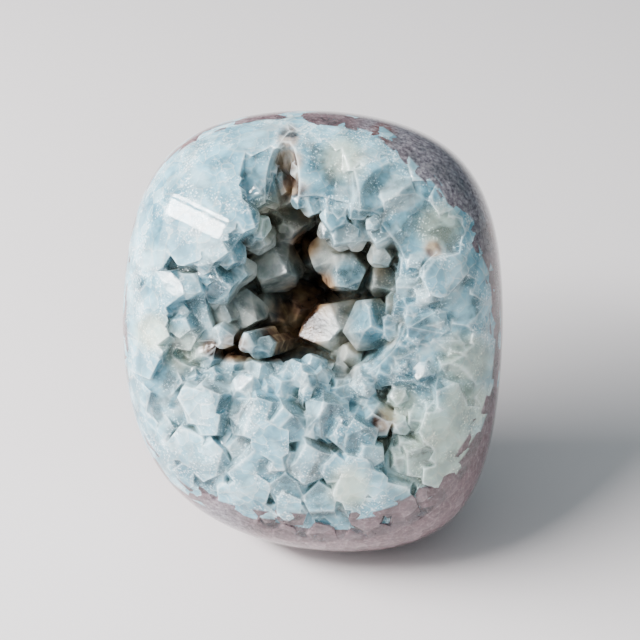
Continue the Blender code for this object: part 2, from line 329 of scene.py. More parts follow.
def grown_cells(tree, place, size):
    """Crystals cut across where they grew together: each one's tone, its painted lit side and its edge."""
    cut = {"Vector": place, "Scale": 1 / size}
    cell = node(tree, "ShaderNodeTexVoronoi", cut, out="Color")
    edge = node(tree, "ShaderNodeTexVoronoi", cut, feature="DISTANCE_TO_EDGE")
    tone = node(tree, "ShaderNodeSeparateColor", {"Color": cell})
    middle = cell.node.outputs["Position"]
    from_middle = node(tree, "ShaderNodeVectorMath", {0: place, 1: middle}, operation="SUBTRACT")
    # Painted light: lighter towards a crystal's lower right edge, as if light came in at the upper left and
    # gathered there
    across = {0: from_middle, 1: (0.55 / size, 0.2 / size, -0.65 / size)}
    lit = node(tree, "ShaderNodeVectorMath", across, out="Value", operation="DOT_PRODUCT")
    return tone, lit, edge


def clouded_quartz(tree, place):
    """Colour of clear quartz grown together: ice blue, clouded by veils, with cracks, painted glints, and
    painted lit sides and edge highlights.
    """
    # Veils of tiny bubbles, 2 to 4 mm across
    bent = wavering(tree, place, 3.3, 3.0)
    veils = node(tree, "ShaderNodeTexNoise", {"Vector": bent, "Scale": 0.28, "Detail": 3.0})
    ices = [(0.3, "#7fbdd4"), (0.5, "#a2dbf0"), (0.7, "#c8f2ff")]
    colour = node(tree, "ShaderNodeValToRGB", {0: veils}, stops=ices)
    # Whole crystals 6 mm across, and the parts they are made of, 2.6 mm, each with a painted lit side and a
    # painted highlight along its edge
    facets = [(0.1, "#4a8298"), (0.4, "#78b6cc"), (0.7, "#a0def2"), (0.95, "#dcf8ff")]
    for size, share, line in ((6.0, 0.65, 0.045), (2.6, 0.45, 0.06)):
        tone, lit, edge = grown_cells(tree, wavering(tree, place, size * 0.7, size * 0.5), size)
        light = node(tree, "ShaderNodeMath", {0: tone, 1: lit}, operation="ADD")
        dimmed = {0: light, 1: 0.8, 2: 0.08}
        light = node(tree, "ShaderNodeMath", dimmed, operation="MULTIPLY_ADD", use_clamp=True)
        cells = node(tree, "ShaderNodeValToRGB", {0: light}, stops=facets)
        # Painted highlight along each crystal's edge, brighter where the crystal is painted lighter
        rim = node(tree, "ShaderNodeValToRGB", {0: edge}, stops=[(0.0, 1.0), (line, 0.0)])
        edge_highlight = node(tree, "ShaderNodeValToRGB", {0: light}, stops=[(0.35, 0.15), (0.75, 1.0)])
        colour = layered(tree, colour, (share, cells), (rim, edge_highlight, "#f0f9fa"))
    # Crack ends and bubbles 0.2 to 0.4 mm across, in crowds: dark specks, and painted glints of white at
    # random among them
    crumbs = node(tree, "ShaderNodeTexNoise", {"Vector": place, "Scale": 3.0, "Detail": 3.0})
    crowd = node(tree, "ShaderNodeTexNoise", {"Vector": place, "Scale": 0.3, "Detail": 2.0})
    crowd = node(tree, "ShaderNodeValToRGB", {0: crowd}, stops=[(0.46, 0.0), (0.6, 1.0)])
    bright = node(tree, "ShaderNodeValToRGB", {0: crumbs}, stops=[(0.58, 0.0), (0.63, 1.0)])
    speck = node(tree, "ShaderNodeValToRGB", {0: crumbs}, stops=[(0.34, 1.0), (0.41, 0.0)])
    spark = node(tree, "ShaderNodeMath", {0: bright, 1: crowd}, operation="MULTIPLY")
    # Healed cracks, thin curved sheets seen edge on
    sheets = node(tree, "ShaderNodeTexNoise", {"Vector": place, "Scale": 0.22, "Detail": 2.5})
    thin = [(0.485, 0.0), (0.5, 1.0), (0.515, 0.0)]
    crack = node(tree, "ShaderNodeValToRGB", {0: sheets}, stops=thin)
    colour = layered(
        tree,
        colour,
        (crack, crowd, 0.8, "#f6fdfe"),
        (speck, crowd, 0.65, "#4b5c63"),
        (spark, 0.85, "#ffffff"),
    )
    return colour, veils, spark


def massive_quartz(tree, place):
    """Colour of massive pink amethyst: mauve grey, granular, with streaks and stains of iron."""
    dark_patch, rust_patch = (
        node(tree, "ShaderNodeAttribute", out="Fac", attribute_name=name)
        for name in ("dark_band", "rust_band")
    )
    # Grit-sized mottling, 0.3 to 1 mm
    grit = {"Vector": place, "Scale": 1.4, "Detail": 4.0, "Roughness": 0.7}
    mottle = node(tree, "ShaderNodeTexNoise", grit)
    mauves = [(0.3, "#45343a"), (0.45, "#654d52"), (0.58, "#866d72"), (0.72, "#b8a5a9")]
    colour = node(tree, "ShaderNodeValToRGB", {0: mottle}, stops=mauves)
    # Grains 3 mm across that grew into each other, each with a painted lit side
    tone, lit, edge = grown_cells(tree, wavering(tree, place, 3.0, 1.5), 3.2)
    light = node(tree, "ShaderNodeMath", {0: tone, 1: 0.8}, operation="MULTIPLY")
    sides = {0: lit, 1: 0.4, 2: light}
    light = node(tree, "ShaderNodeMath", sides, operation="MULTIPLY_ADD", use_clamp=True)
    tones = [(0.0, "#45343a"), (0.5, "#745c62"), (1.0, "#b2a0a5")]
    grains = node(tree, "ShaderNodeValToRGB", {0: light}, stops=tones)
    seam = node(tree, "ShaderNodeValToRGB", {0: edge}, stops=[(0.0, 0.07), (0.06, 0.0)])
    greys = [(0.35, "#494550"), (0.5, "#817d87"), (0.68, "#b3aeb5")]
    dark = node(tree, "ShaderNodeValToRGB", {0: mottle}, stops=greys)
    # Fine dark streaks of iron oxide, 0.2 mm wide
    streaked = millimetres(tree, (0.5, 0.5, 2.2), (0.5, 0.9, 0.2))
    streaks = node(tree, "ShaderNodeTexNoise", {"Vector": streaked, "Scale": 1.1, "Detail": 3.0})
    streak = node(tree, "ShaderNodeValToRGB", {0: streaks}, stops=[(0.60, 0.0), (0.68, 1.0)])
    blotches = node(tree, "ShaderNodeValToRGB", {0: mottle}, stops=[(0.3, 1.0), (0.65, 0.35)])
    return layered(
        tree,
        colour,
        (0.4, grains),
        (seam, "#e4dadc"),
        (dark_patch, 0.85, dark),
        (streak, 0.45, "#4a4249"),
        (rust_patch, blotches, "#6e4036"),
    )


def in_massive_band(tree, place):
    """1 in the band of massive quartz, 0 among the crystals. It ends along the crystals' edges."""
    tone, _, _ = grown_cells(tree, wavering(tree, place, 2.0, 1.2), 3.0)
    band = node(tree, "ShaderNodeAttribute", out="Fac", attribute_name="band")
    into = node(tree, "ShaderNodeMath", {0: tone, 1: 3.0, 2: band}, operation="MULTIPLY_ADD")
    into = node(tree, "ShaderNodeMath", {0: into, 1: 0.2}, operation="MULTIPLY")
    return node(tree, "ShaderNodeValToRGB", {0: into}, stops=[(0.27, 0.0), (0.33, 1.0)])


def polished_amethyst():
    """Massive pink amethyst, wheel-polished: a grain that shows below a wet gloss, icy at the bed."""
    material = bpy.data.materials.new("polished_massive_amethyst")
    material.use_nodes = True
    tree = material.node_tree
    shader = tree.nodes["Principled BSDF"]
    place = millimetres(tree)
    quartz, _, _ = clouded_quartz(tree, place)
    base = layered(tree, quartz, (in_massive_band(tree, place), massive_quartz(tree, place)))
    tree.links.new(base, shader.inputs["Base Color"])
    shader.inputs["IOR"].default_value = 1.54
    shader.inputs["Roughness"].default_value = 0.08
    shader.inputs["Subsurface Weight"].default_value = 0.35
    shader.inputs["Subsurface Radius"].default_value = (1.0, 0.8, 0.85)
    shader.inputs["Subsurface Scale"].default_value = 1.5 * MM
    # The last pits that polishing left, 0.4 mm across
    pits = node(tree, "ShaderNodeTexNoise", {"Vector": place, "Scale": 2.5, "Detail": 6.0})
    bump = node(tree, "ShaderNodeBump", {"Height": pits, "Strength": 0.12, "Distance": 0.1 * MM})
    tree.links.new(bump, shader.inputs["Normal"])
    return material


body_mesh = cut_away(
    form_mesh("polished_body", BODY_CUTS), ellipsoid_mesh("bed", BED_MIDDLE, BED_RADII, 6)
)
corners = corner_array(body_mesh)
store(body_mesh, "band", band_depth(corners))
store(body_mesh, "dark_band", patches(corners, DARK_BAND_PLACES))
store(body_mesh, "rust_band", patches(corners, RUST_BAND_PLACES))
body_mesh.transform(STANCE)
body_mesh = sawn_flat(body_mesh, 0.0)
body_mesh.shade_smooth()
body_mesh.set_sharp_from_angle(angle=SHARP_ANGLE)
body_mesh.materials.append(polished_amethyst())
polished_body = add_object("polished_body", body_mesh)
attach(polished_body, "root")
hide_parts("amethyst_stone")


# The crystal druse
# Clear to milky quartz crystals that grew side by side from the bed into the hollow, six-sided
# with blunt tips. The outermost were ground flush with the stone, the rest are as they grew.

# Between the crystals, massive quartz lies below the ground face: how much, as a share of its
# depth, in the middle. It comes up to the face at the rim
MASSIVE_SUNK = 0.22
MASSIVE_CUTS = 30

# The vug and the clefts that run out of it: middle, radii, and the share of each that stays open
VUG_LOBES = [
    ((0.3, -25.0, 8.5), (17.5, 27.0, 16.5), 0.84),
    ((-4.5, -24.0, 26.0), (3.2, 12.0, 10.0), 0.8),
    ((-14.0, -23.0, -2.5), (9.0, 10.0, 2.8), 0.9),
    ((13.2, -22.0, -11.0), (2.2, 8.0, 8.0), 0.9),
]

# Crystals seen on the face: across and up to the middle of its end as they look from there, how
# deep the tip lies behind the polished dome (less than 0 was ground off), radius, and lean of the
# axis across and up in degrees
CRYSTALS = [
    (-4.0, 23.0, 9.0, 4.0, 15, -20),
    (-4.3, 18.0, 7.0, 4.4, 15, -15),
    (-6.0, 9.8, 8.0, 5.2, 25, -10),
    (-11.0, 1.6, 6.5, 4.6, 35, -15),
    (-15.5, 2.2, 4.0, 4.4, 25, -15),
    (4.5, 9.8, 7.0, 4.8, -15, -25),
    (1.0, 12.0, 9.0, 4.0, -30, -20),
    (10.2, 1.3, 4.5, 4.7, 4, 8),
    (1.0, -0.5, 11.0, 5.2, -60, -20),
    (11.0, -6.2, 9.0, 4.2, -15, 0),
    (16.0, -4.8, 9.0, 3.2, -30, -10),
    (-4.5, -2.0, 14.0, 5.0, 20, 10),
    (-2.0, 3.5, 14.5, 5.5, 5, 5),
    (-7.5, 2.0, 13.0, 4.5, 15, 0),
    (0.5, 13.0, 15.0, 4.0, 0, -10),
    (11.0, 8.5, 9.0, 3.2, -20, -10),
    (15.0, 14.0, 6.0, 2.5, -25, -15),
    (-17.0, 26.0, -6.0, 6.0, 20, -20),
    (-21.0, 18.4, -6.5, 6.5, 25, -10),
    (-25.0, 22.0, -6.0, 5.0, 30, -15),
    (-25.5, 16.5, -6.0, 5.0, 30, -10),
    (-21.0, 23.5, -6.5, 5.5, 20, -20),
    (-16.0, 20.0, -6.0, 5.0, 20, -15),
    (-17.5, 16.5, -6.0, 4.5, 25, -10),
    (-17.5, 13.8, -3.5, 5.0, 25, -10),
    (-13.0, 17.5, -1.0, 4.2, 25, -10),
    (-9.5, 22.5, 1.5, 4.6, 20, -15),
    (-9.5, 15.5, 4.0, 3.4, 25, -10),
    (-15.5, 7.7, 1.0, 5.0, 30, -5),
    (-24.0, 5.0, -3.0, 4.4, 30, 0),
    (-20.5, -1.5, 0.0, 4.2, 30, -10),
    (-27.0, 12.0, -4.0, 4.4, 30, 0),
    (-26.0, -2.0, -3.0, 4.0, 30, 0),
    (-23.0, -9.2, 0.0, 5.2, 10, 5),
    (-17.2, -5.8, 4.0, 2.6, 15, 10),
    (2.8, 26.6, 0.3, 3.9, -5, -15),
    (8.5, 23.5, -3.0, 6.5, -10, -20),
    (4.3, 16.0, 2.5, 3.8, -15, -25),
    (11.0, 15.5, 2.0, 4.4, -15, -25),
    (17.7, 22.5, 0.0, 5.5, -15, -20),
    (17.0, 15.0, 1.5, 3.7, -20, -20),
    (3.0, 33.0, -4.0, 4.2, -5, -25),
    (10.0, 32.0, -4.0, 4.5, -10, -25),
    (-3.0, 31.5, 1.0, 3.6, -5, -20),
    (-12.0, 33.0, -4.5, 4.8, 10, -25),
    (17.0, 5.0, 1.5, 3.0, -30, 0),
    (16.8, -0.5, 2.0, 2.8, -30, 5),
    (15.2, -4.5, 2.5, 2.6, -30, 10),
    (12.5, -7.2, 3.0, 2.6, -20, 20),
    (8.5, -8.0, 2.5, 2.6, -5, 30),
    (15.8, 10.8, 2.0, 3.0, -30, -10),
    (-1.0, 21.0, 3.0, 2.6, 0, -30),
    (3.6, 20.4, 2.5, 2.8, -5, -30),
    (24.8, 11.8, -2.5, 6.0, -25, -5),
    (24.3, 17.4, -1.5, 4.5, -25, -10),
    (16.1, 7.7, 1.0, 4.2, -35, 0),
    (17.7, 1.0, 0.0, 4.8, -30, 0),
    (25.3, 1.6, -2.0, 5.4, -25, 0),
    (23.8, -4.6, -1.5, 5.5, -25, 5),
    (16.1, -8.7, 1.5, 4.4, -30, 5),
    (27.0, -10.2, 0.0, 3.6, -30, 5),
    (21.2, -15.8, -4.6, 4.6, -25, 10),
    (18.1, -21.0, -2.6, 4.4, -20, 10),
    (14.1, -15.8, 4.0, 3.0, -20, 10),
    (-13.0, -7.1, 3.5, 3.0, 5, 20),
    (-9.0, -7.7, 2.0, 3.6, 5, 35),
    (-1.8, -7.1, 2.0, 3.6, 0, 40),
    (1.4, -7.5, 3.0, 2.8, 10, 35),
    (4.5, -9.0, 4.5, 3.2, 0, 30),
    (8.0, -10.5, 4.5, 3.0, 0, 30),
    (10.5, -11.5, 3.0, 2.8, 5, 30),
    (-5.0, -9.5, 1.0, 3.6, 0, 30),
    (-16.5, -13.0, -3.6, 4.8, 15, 20),
    (-8.0, -14.5, -4.6, 6.2, 5, 25),
    (-8.5, -21.5, -4.1, 5.6, 5, 30),
    (0.3, -20.9, -3.2, 4.8, 0, 25),
    (-3.8, -26.0, -2.6, 4.4, 0, 25),
    (-17.0, -21.0, -3.6, 4.8, 15, 25),
    (3.0, -14.0, -2.1, 4.2, 0, 25),
    (8.0, -17.0, -2.6, 4.6, 0, 25),
    (7.5, -24.0, -4.6, 4.6, -5, 30),
    (14.0, -27.0, -2.6, 4.2, -10, 30),
    (-11.0, -28.0, -4.6, 4.0, 5, 30),
]
# A quartz tip's faces stand this far off the crystal's axis
TIP_FACE_DEG = 38.2
# A crystal's length in radii, and how much it narrows to its root
LENGTH_IN_RADII = 7.0
ROOT_SHARE = 0.8
# No crystal is even: how far its sides stand off the axis, and how far its three broad and its
# three narrow tip faces are set back, in radii. They are cut from a cone of this radius
PRISM_WIDTHS = (0.86, 1.2)
BROAD_SETBACK = (0.0, 0.12)
NARROW_SETBACK = (0.1, 0.38)
UNCUT_RADIUS = 1.3
SHAPES = 16
# All the crystals grew towards the middle of the hollow that was ground away
GROWTH_FOCUS = Vector((-1.0, -75.0, 3.0))

# Smaller crystals in parallel growth round the shallow ones: how many, radius and setback as
# shares of the big one's radius
PARTNERS = 3
PARTNER_RADIUS = (0.5, 0.8)
PARTNER_REACH = (0.45, 0.8)
PARTNER_SETBACK = (0.1, 0.9)
PARTNERS_UP_TO_DEPTH = 3.0
# How much the partners and all other lesser crystals lean at random
PARTNER_SHAKE = 0.1
LESSER_SHAKE = 0.2
# Lesser crystals that fill the ground face between those, smaller towards the rim: how many at
# most, radius, and the share of it at least that each one has
FILLERS = 230
FILLER_TRIES = 20000
FILLER_RADIUS = (2.2, 5.8)
FILLER_LEAST_SHARE = 0.4
# As shares of a crystal's radius
FILLER_DEPTH = (-1.1, 0.25)
FILLER_SPACING = 1.25
# They begin this far inside the bed's edge, and are largest that much further in
FILLER_BED_SHARE = 0.985
FILLER_BED_WAY = 0.35
# Crystals that line the wall of the vug and of each cleft: how many, radius, how near the wall
# the tip stays, spacing
LINERS = [
    (130, (1.4, 3.2), (0.78, 0.97), 2.5),
    (16, (1.4, 2.4), (0.9, 1.05), 2.2),
    (16, (1.4, 2.4), (0.9, 1.05), 2.2),
    (16, (1.4, 2.4), (0.9, 1.05), 2.2),
]
LINER_TRIES = 4000
LINER_LEAST_DEPTH = 1.0
LINERS_POINT_AT = Vector((0, -12, 0))
# None stands before a crystal of the table that is deeper than this
VUG_CRYSTAL_DEPTH = 5.0
VUG_CRYSTAL_MARGIN = 0.3
SEED = 7


def sight_line(across, up):
    """The eye, and the direction from it to a point of the plane that the face is seen in."""
    to_eye, right, above = sight_axes()
    eye = to_eye * SIGHT_DISTANCE
    return eye, (right * across + above * up - eye).normalized()


def seen_point(across, up, depth):
    """The point seen at (across, up), this deep behind the polished dome."""
    eye, along = sight_line(across, up)
    near, far = 0.0, SIGHT_DISTANCE
    for _ in range(40):
        middle = (near + far) / 2
        if stone_measure(eye + along * middle) > 1:
            near = middle
        else:
            far = middle
    return eye + along * (near + depth)


def depth_behind_dome(points):
    """How far inside the polished surface points lie, seen from the stone's middle."""
    return np.linalg.norm(points, axis=-1) * (1 / stone_measure(points) - 1)


def tip_face(side):
    """The direction that one of a crystal's six tip faces looks in."""
    azimuth, slope = math.radians(30 + 60 * side), math.radians(TIP_FACE_DEG)
    return Vector(
        (math.cos(azimuth) * math.cos(slope), math.sin(azimuth) * math.cos(slope), math.sin(slope))
    )


def unit_crystal(rng):
    """A six-sided prism of radius 1 with three broad and three narrow tip faces, and its planes."""
    bm = bmesh.new()
    bmesh.ops.create_cone(
        bm,
        cap_ends=True,
        segments=6,
        radius1=ROOT_SHARE * UNCUT_RADIUS,
        radius2=UNCUT_RADIUS,
        depth=LENGTH_IN_RADII,
    )
    bmesh.ops.translate(bm, vec=(0, 0, -LENGTH_IN_RADII / 2), verts=bm.verts)
    flat_reach = math.cos(math.pi / 6)
    taper = (1 - ROOT_SHARE) * flat_reach / LENGTH_IN_RADII
    planes = []
    for side in range(6):
        azimuth = math.radians(30 + 60 * side)
        across = Vector((math.cos(azimuth), math.sin(azimuth), 0))
        outward = tip_face(side)
        setback = rng.uniform(*BROAD_SETBACK) if side % 2 else rng.uniform(*NARROW_SETBACK)
        wide = flat_reach * rng.uniform(*PRISM_WIDTHS)
        sideways = across - Vector((0, 0, taper))
        for direction, place in ((outward, outward * -setback), (sideways, across * wide)):
            geometry = bm.verts[:] + bm.edges[:] + bm.faces[:]
            cut = bmesh.ops.bisect_plane(
                bm, geom=geometry, plane_co=place, plane_no=direction, clear_outer=True
            )
            rim = [item for item in cut["geom_cut"] if isinstance(item, bmesh.types.BMEdge)]
            if rim:
                bmesh.ops.edgeloop_fill(bm, edges=rim)
        planes.append((*outward, setback))
        planes.append((across.x, across.y, -taper, -wide))
    return mesh_from(bm, "crystal_shape"), np.array(planes)


def leaning_axis(across_deg, up_deg):
    """The direction that a crystal points in: out of the face, leaning across and up."""
    across, up = math.radians(across_deg), math.radians(up_deg)
    return Vector((math.sin(across), -math.cos(across) * math.cos(up), math.cos(across) * math.sin(up)))


def shaken(direction, most, rng):
    """The direction, turned a little at random."""
    return (direction + Vector(rng.uniform(-most, most) for _ in range(3))).normalized()


def random_direction(rng):
    """A direction into the front half of space."""
    while True:
        direction = Vector((rng.uniform(-1, 1), rng.uniform(-1, 0), rng.uniform(-1, 1)))
        if 0.1 < direction.length < 1:
            return direction.normalized()


def spaced_from(point, others, spacing):
    """Whether the point keeps its distance from all the others."""
    return all((point - other).length > spacing for other in others)


def in_open_vug(point):
    """Whether the point lies where the vug or a cleft stays open."""
    for middle, radii, share in VUG_LOBES:
        if Vector((point[i] - middle[i]) / radii[i] for i in range(3)).length < share:
            return True
    return False


def seen_crystals(rng):
    """Tip, axis and radius of the crystals of the table, with their partners in parallel growth."""
    found = []
    for across, up, depth, radius, lean_across, lean_up in CRYSTALS:
        axis = leaning_axis(lean_across, lean_up)
        tip = seen_point(across, up, depth + radius) + axis * radius
        found.append((tip, axis, radius))
        if depth > PARTNERS_UP_TO_DEPTH:
            continue
        start = rng.uniform(0, math.tau)
        aside = axis.orthogonal().normalized()
        for number in range(PARTNERS):
            turn = Matrix.Rotation(start + math.tau * (number + rng.uniform(-0.3, 0.3)) / PARTNERS, 3, axis)
            reach = turn @ aside * radius * rng.uniform(*PARTNER_REACH)
            setback = radius * rng.uniform(*PARTNER_SETBACK)
            small = radius * rng.uniform(*PARTNER_RADIUS)
            found.append((tip + reach - axis * setback, shaken(axis, PARTNER_SHAKE, rng), small))
    return found


def filler_crystals(taken, rng):
    """Tip, axis and radius of crystals between those already placed, on the ground face."""
    found = []
    for _ in range(FILLER_TRIES):
        surface = random_direction(rng)
        surface = surface / float(stone_measure(surface))
        nearness = float(bed_measure(surface))
        if nearness > FILLER_BED_SHARE or in_open_vug(surface):
            continue
        room = min(1.0, (FILLER_BED_SHARE - nearness) / FILLER_BED_WAY)
        growth = room * rng.uniform(FILLER_LEAST_SHARE, 1)
        radius = FILLER_RADIUS[0] + (FILLER_RADIUS[1] - FILLER_RADIUS[0]) * growth
        if not spaced_from(surface, taken, radius * FILLER_SPACING):
            continue
        taken.append(surface)
        inward = (GROWTH_FOCUS - surface).normalized()
        tip = surface - inward * radius * rng.uniform(FILLER_DEPTH[0], FILLER_DEPTH[1] * room)
        found.append((tip, shaken(inward, LESSER_SHAKE, rng), radius))
        if len(found) == FILLERS:
            break
    return found


def hides_a_vug_crystal(tip):
    """Whether a crystal with this tip would stand before one of the table that is deep in the vug."""
    across, up = seen_from_front(np.array([tip]))
    depth = depth_behind_dome(tip)
    for middle_across, middle_up, row_depth, radius, _, _ in CRYSTALS:
        away = math.hypot(across[0] - middle_across, up[0] - middle_up)
        deep_in_vug = row_depth > VUG_CRYSTAL_DEPTH and depth < row_depth + 2
        if deep_in_vug and away < radius + VUG_CRYSTAL_MARGIN:
            return True
    return False


def liner_crystals(taken, rng):
    """Tip, axis and radius of the crystals that stand on the walls of the vug and its clefts."""
    found = []
    for (middle, radii, _), (count, radius, reach, spacing) in zip(VUG_LOBES, LINERS):
        middle, radii = Vector(middle), Vector(radii)
        enough = len(found) + count
        for _ in range(LINER_TRIES):
            direction = -random_direction(rng)
            wall = middle + direction * radii
            tip = middle + direction * radii * rng.uniform(*reach)
            if depth_behind_dome(tip) < LINER_LEAST_DEPTH or not spaced_from(wall, taken, spacing):
                continue
            if hides_a_vug_crystal(tip):
                continue
            taken.append(wall)
            axis = shaken((middle + LINERS_POINT_AT - wall).normalized(), LESSER_SHAKE, rng)
            found.append((tip, axis, rng.uniform(*radius)))
            if len(found) == enough:
                break
    return found


def druse_tree(material):
    """Grows every crystal from a point, joins them with the massive quartz and grinds the face."""
    tree = bpy.data.node_groups.new("crystal_druse", "GeometryNodeTree")
    sockets = {}
    for name, kind in (
        ("Geometry", "NodeSocketGeometry"),
        ("Crystal shapes", "NodeSocketCollection"),
        ("Massive quartz", "NodeSocketObject"),
        ("Vug lobes", "NodeSocketCollection"),
        ("Ground form", "NodeSocketObject"),
        ("Bed", "NodeSocketObject"),
        ("Radius", "NodeSocketFloat"),
    ):
        sockets[name] = tree.interface.new_socket(name, in_out="INPUT", socket_type=kind).identifier
    tree.interface.new_socket("Geometry", in_out="OUTPUT", socket_type="NodeSocketGeometry")
    given = node(tree, "NodeGroupInput").node.outputs

    def of_object(name):
        return node(tree, "GeometryNodeObjectInfo", {"Object": given[name]}, out="Geometry")

    def per_point(name, kind):
        return node(tree, "GeometryNodeInputNamedAttribute", {"Name": name}, data_type=kind)

    shapes = node(
        tree,
        "GeometryNodeCollectionInfo",
        {"Collection": given["Crystal shapes"], "Separate Children": True, "Reset Children": True},
    )
    lobes = node(
        tree, "GeometryNodeCollectionInfo", {"Collection": given["Vug lobes"], "Separate Children": True}
    )
    size = node(
        tree, "ShaderNodeMath", {0: per_point("radius", "FLOAT"), 1: given["Radius"]}, operation="MULTIPLY"
    )
    grown = node(
        tree,
        "GeometryNodeInstanceOnPoints",
        {
            "Points": given["Geometry"],
            "Instance": shapes,
            "Pick Instance": True,
            "Instance Index": per_point("shape", "INT"),
            "Rotation": per_point("turn", "QUATERNION"),
            "Scale": size,
        },
    )
    quartz = {"Mesh 1": of_object("Massive quartz"), "Mesh 2": lobes}
    hollowed = node(tree, "GeometryNodeMeshBoolean", quartz, operation="DIFFERENCE", solver="MANIFOLD")
    joined = node(tree, "GeometryNodeMeshBoolean", operation="UNION", solver="MANIFOLD")
    for part in (grown, hollowed):
        tree.links.new(part, joined.node.inputs["Mesh 2"])
    ground = node(tree, "GeometryNodeMeshBoolean", operation="INTERSECT", solver="MANIFOLD")
    for part in (joined, of_object("Ground form"), of_object("Bed")):
        tree.links.new(part, ground.node.inputs["Mesh 2"])
    real = node(tree, "GeometryNodeRealizeInstances", {"Geometry": ground})
    dressed = node(tree, "GeometryNodeSetMaterial", {"Geometry": real, "Material": material})
    tree.links.new(dressed, tree.nodes.new("NodeGroupOutput").inputs["Geometry"])
    return tree, sockets


def collection_of(name, meshes):
    """A collection with one object for each mesh, outside the scene."""
    collection = bpy.data.collections.new(name)
    for number, mesh in enumerate(meshes):
        collection.objects.link(bpy.data.objects.new(f"{name}_{number:02d}", mesh))
    return collection


def largest_shell(bm):
    """Removes every loose shell but the largest."""
    unseen, shells = set(bm.faces), []
    while unseen:
        start = next(iter(unseen))
        unseen.discard(start)
        shell, open_ends = [start], [start]
        while open_ends:
            for edge in open_ends.pop().edges:
                for face in edge.link_faces:
                    if face in unseen:
                        unseen.discard(face)
                        shell.append(face)
                        open_ends.append(face)
        shells.append(shell)
    shells.sort(key=len)
    for shell in shells[:-1]:
        bmesh.ops.delete(bm, geom=shell, context="FACES")


# The crystals' faces are cut up this fine, to soften their corners and to colour them
GRAIN_MM = 0.62
CORNER_ROUNDS = 1
# What lies past these shares of the way to the bed, and not near the dome, doesn't show
HIDDEN_BEYOND = 0.99
DOME_WITHIN = 0.99
# How a triangle is cut up: for each set of its sides that are halved, 1 for the first, 2 for the
# second and 4 for the third, the new triangles, by its corners 0 to 2 and its sides' middles 3 to 5
CUTS = {
    0: [(0, 1, 2)],
    1: [(0, 3, 2), (3, 1, 2)],
    2: [(0, 1, 4), (0, 4, 2)],
    3: [(3, 1, 4), (0, 3, 4), (0, 4, 2)],
    4: [(0, 1, 5), (1, 2, 5)],
    5: [(0, 3, 5), (3, 1, 2), (3, 2, 5)],
    6: [(4, 2, 5), (0, 1, 4), (0, 4, 5)],
    7: [(0, 3, 5), (3, 1, 4), (5, 4, 2), (3, 4, 5)],
}


def sides_of(triangles):
    """Every side once, as its two corners, and for each triangle the numbers of its three sides."""
    sides = np.sort(triangles[:, [0, 1, 1, 2, 2, 0]].reshape(-1, 2), axis=1)
    key = sides[:, 0].astype(np.int64) * (triangles.max() + 1) + sides[:, 1]
    _, first, number = np.unique(key, return_index=True, return_inverse=True)
    return sides[first], number.reshape(-1, 3)


def cut_up_fine(points, triangles, longest):
    """Halves the sides of the triangles that show until none is longer than this."""
    while True:
        sides, of_triangle = sides_of(triangles)
        hidden = (bed_measure(points) > HIDDEN_BEYOND) & (stone_measure(points) < DOME_WITHIN)
        length = np.linalg.norm(points[sides[:, 0]] - points[sides[:, 1]], axis=1)
        halved = (length > longest) & ~hidden[sides].any(axis=1)
        if not halved.any():
            return points, triangles
        middle = np.full(len(sides), -1)
        middle[halved] = len(points) + np.arange(halved.sum())
        points = np.vstack([points, points[sides[halved]].mean(axis=1)])
        six = np.hstack([triangles, middle[of_triangle]])
        code = halved[of_triangle] @ np.array([1, 2, 4])
        triangles = np.vstack([six[code == kind][:, cut] for kind, cuts in CUTS.items() for cut in cuts])


def spread_out(values, sides, rounds):
    """Averages each vertex's values with its neighbours', round after round."""
    columns = np.array(values, dtype=float).reshape(len(values), -1)
    ends = np.concatenate([sides[:, 0], sides[:, 1]])
    others = np.concatenate([sides[:, 1], sides[:, 0]])
    count = np.bincount(ends, minlength=len(columns))
    for _ in range(rounds):
        total = [np.bincount(ends, column[others], len(columns)) for column in columns.T]
        columns = (columns + np.array(total).T / count[:, None]) / 2
    return columns.reshape(np.shape(values))


def face_normals(points, triangles):
    """Each triangle's outward direction, of length 1 unless the triangle is a sliver."""
    a, b, c = (points[triangles[:, corner]] for corner in range(3))
    across = np.cross(b - a, c - a)
    return across / np.maximum(np.linalg.norm(across, axis=1), 1e-12)[:, None]


def point_normals(points, triangles):
    """Each point's outward direction, the mean of its triangles'."""
    faces = face_normals(points, triangles)
    total = [
        np.bincount(triangles.ravel(), np.repeat(column, 3), len(points)) for column in faces.T
    ]
    normals = np.array(total).T
    return normals / np.maximum(np.linalg.norm(normals, axis=1), 1e-12)[:, None]


def side_bends(points, triangles):
    """Each side, and the angle that it bends by: above 0 on a ridge, below 0 in a groove."""
    sides, of_triangle = sides_of(triangles)
    order = np.argsort(of_triangle.ravel(), kind="stable")
    start = np.searchsorted(of_triangle.ravel()[order], np.arange(len(sides)))
    left, right = order[start] // 3, order[start + 1] // 3
    faces = face_normals(points, triangles)
    middles = points[triangles].mean(axis=1)
    angle = np.arccos(np.clip((faces[left] * faces[right]).sum(axis=1), -1, 1))
    below = ((middles[right] - middles[left]) * faces[left]).sum(axis=1) < 0
    return sides, np.where(below, angle, -angle)


def owners(points, crystals, planes):
    """For each point, the crystal it belongs to, and the face of it that is nearest."""
    best = np.full(len(points), np.inf)
    owner, facet = np.zeros(len(points), int), np.zeros(len(points), int)
    for number, (tip, quaternion, radius, shape) in enumerate(crystals):
        near = np.flatnonzero(np.linalg.norm(points - np.array(tip), axis=1) < radius * LENGTH_IN_RADII)
        if not len(near):
            continue
        inside = (points[near] - np.array(tip)) @ np.array(quaternion.to_matrix())
        beyond = inside @ planes[shape][:, :3].T + planes[shape][:, 3] * radius
        closer = beyond.max(axis=1) < best[near]
        best[near[closer]] = beyond.max(axis=1)[closer]
        owner[near[closer]] = number
        facet[near[closer]] = beyond.argmax(axis=1)[closer]
    return owner, facet


# Light is kept out by the crystals within this reach, and is tried by this many rays, which start
# just off the surface and spread to nearly half of space
SHELTER_REACH = 14.0
SHELTER_RAYS = 12
SHELTER_START = 0.05
SHELTER_SPREAD = 0.95


